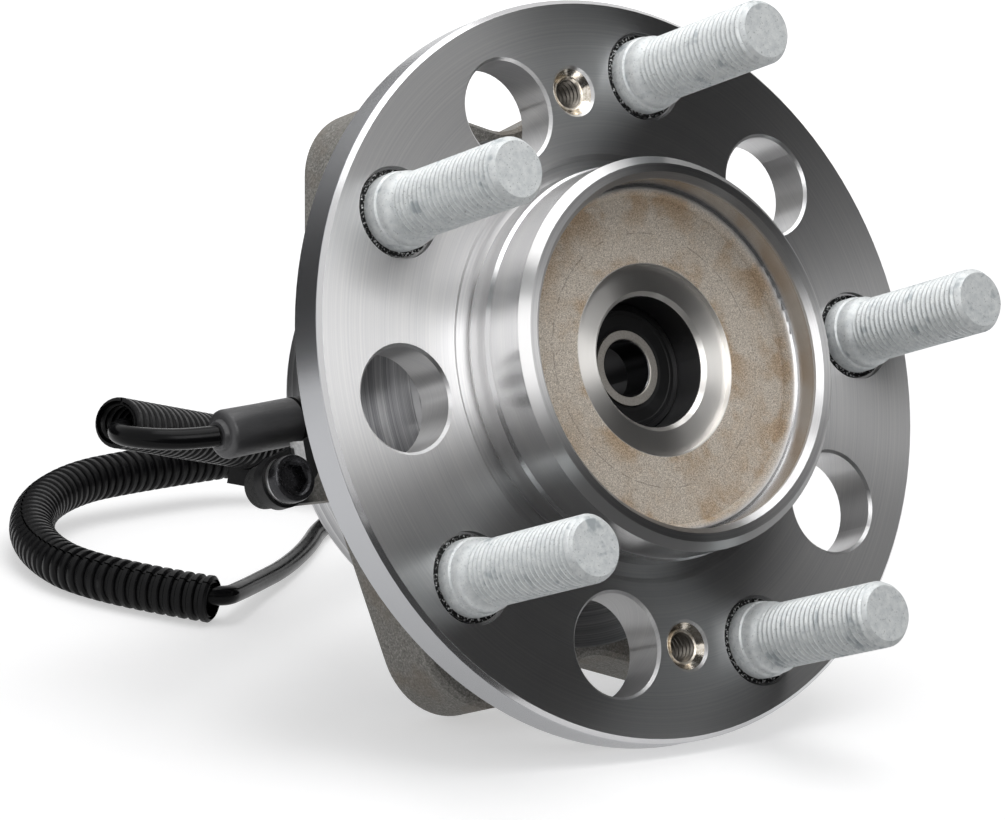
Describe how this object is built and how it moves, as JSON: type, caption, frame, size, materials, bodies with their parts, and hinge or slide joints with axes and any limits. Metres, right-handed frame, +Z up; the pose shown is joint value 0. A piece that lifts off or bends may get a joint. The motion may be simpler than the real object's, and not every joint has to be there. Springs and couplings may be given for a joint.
{
  "type": "wheel hub bearing",
  "caption": "Flanged wheel hub on a double-row ball bearing, bolted to the knuckle by a lobed ring, with a speed sensor and its sleeved lead",
  "frame": {"origin": "on the floor under the middle of the bounding box of the unit without its cable", "axes": "+Z up; the unit leans back 22 degrees, so its spin axis lies in the Y-Z plane and points towards -Y and up on the wheel side; +X is to the right seen from the wheel side"},
  "size_m": [0.2058, 0.2608, 0.1567],
  "materials": {
    "machined_steel": "turned and ground bearing steel",
    "zinc_steel": "zinc-plated steel",
    "cast_steel": "rough forged steel left as forged",
    "black_rubber": "moulded black rubber",
    "black_plastic": "moulded black nylon",
    "cage_plastic": "natural glass-filled nylon",
    "conduit_plastic": "black corrugated polyamide",
    "cable_jacket": "black cable jacket",
    "black_steel": "black oxide steel",
    "pin_metal": "tinned brass"
  },
  "bodies": {
    "knuckle": {"outer_ring": "cast_steel", "outboard_seal_core": "zinc_steel", "outboard_seal": "black_rubber", "inboard_seal_core": "zinc_steel", "inboard_seal": "black_rubber", "sensor_body": "black_plastic", "sensor_o_ring": "black_rubber", "sensor_bushing": "zinc_steel", "sensor_strap": "zinc_steel", "sensor_screw": "black_steel", "sensor_boot": "black_rubber", "sensor_lead": "cable_jacket", "conduit": "conduit_plastic", "conduit_clip": "black_plastic", "tail_lead": "cable_jacket", "connector_seal": "black_rubber", "connector_housing": "black_plastic", "connector_pins": "pin_metal", "connector_lock": "black_plastic"},
    "hub": {"hub_flange": "machined_steel", "wheel_studs": "zinc_steel", "inner_ring": "machined_steel", "tone_ring": "zinc_steel", "inboard_slinger": "zinc_steel", "pilot_outer_race": "machined_steel", "pilot_shields": "black_rubber"},
    "outboard_row": {"outboard_balls": "machined_steel", "outboard_cage": "cage_plastic"},
    "inboard_row": {"inboard_balls": "machined_steel", "inboard_cage": "cage_plastic"},
    "pilot_inner": {"pilot_inner_race": "machined_steel"},
    "pilot_row": {"pilot_balls": "machined_steel", "pilot_cage": "cage_plastic"}
  },
  "joints": [
    {"name": "hub_spin", "type": "hinge", "parent": "knuckle", "child": "hub", "pos_m": [0.0004, 0.03074, 0.06228], "axis": [0, -0.9242, 0.382], "continuous": true},
    {"name": "outboard_row_spin", "type": "hinge", "parent": "knuckle", "child": "outboard_row", "pos_m": [0.0004, 0.02104, 0.06629], "axis": [0, -0.9242, 0.382], "continuous": true},
    {"name": "inboard_row_spin", "type": "hinge", "parent": "knuckle", "child": "inboard_row", "pos_m": [0.0004, 0.04045, 0.05827], "axis": [0, -0.9242, 0.382], "continuous": true},
    {"name": "pilot_inner_spin", "type": "hinge", "parent": "hub", "child": "pilot_inner", "pos_m": [0.0004, -0.00068, 0.07527], "axis": [0, -0.9242, 0.382], "continuous": true},
    {"name": "pilot_row_spin", "type": "hinge", "parent": "hub", "child": "pilot_row", "pos_m": [0.0004, -0.00068, 0.07527], "axis": [0, -0.9242, 0.382], "continuous": true}
  ],
  "couplings": [
    {"joint": "outboard_row_spin", "follows": "hub_spin", "ratio": 0.4077},
    {"joint": "inboard_row_spin", "follows": "hub_spin", "ratio": 0.4077},
    {"joint": "pilot_row_spin", "follows": "pilot_inner_spin", "ratio": 0.39}
  ]
}
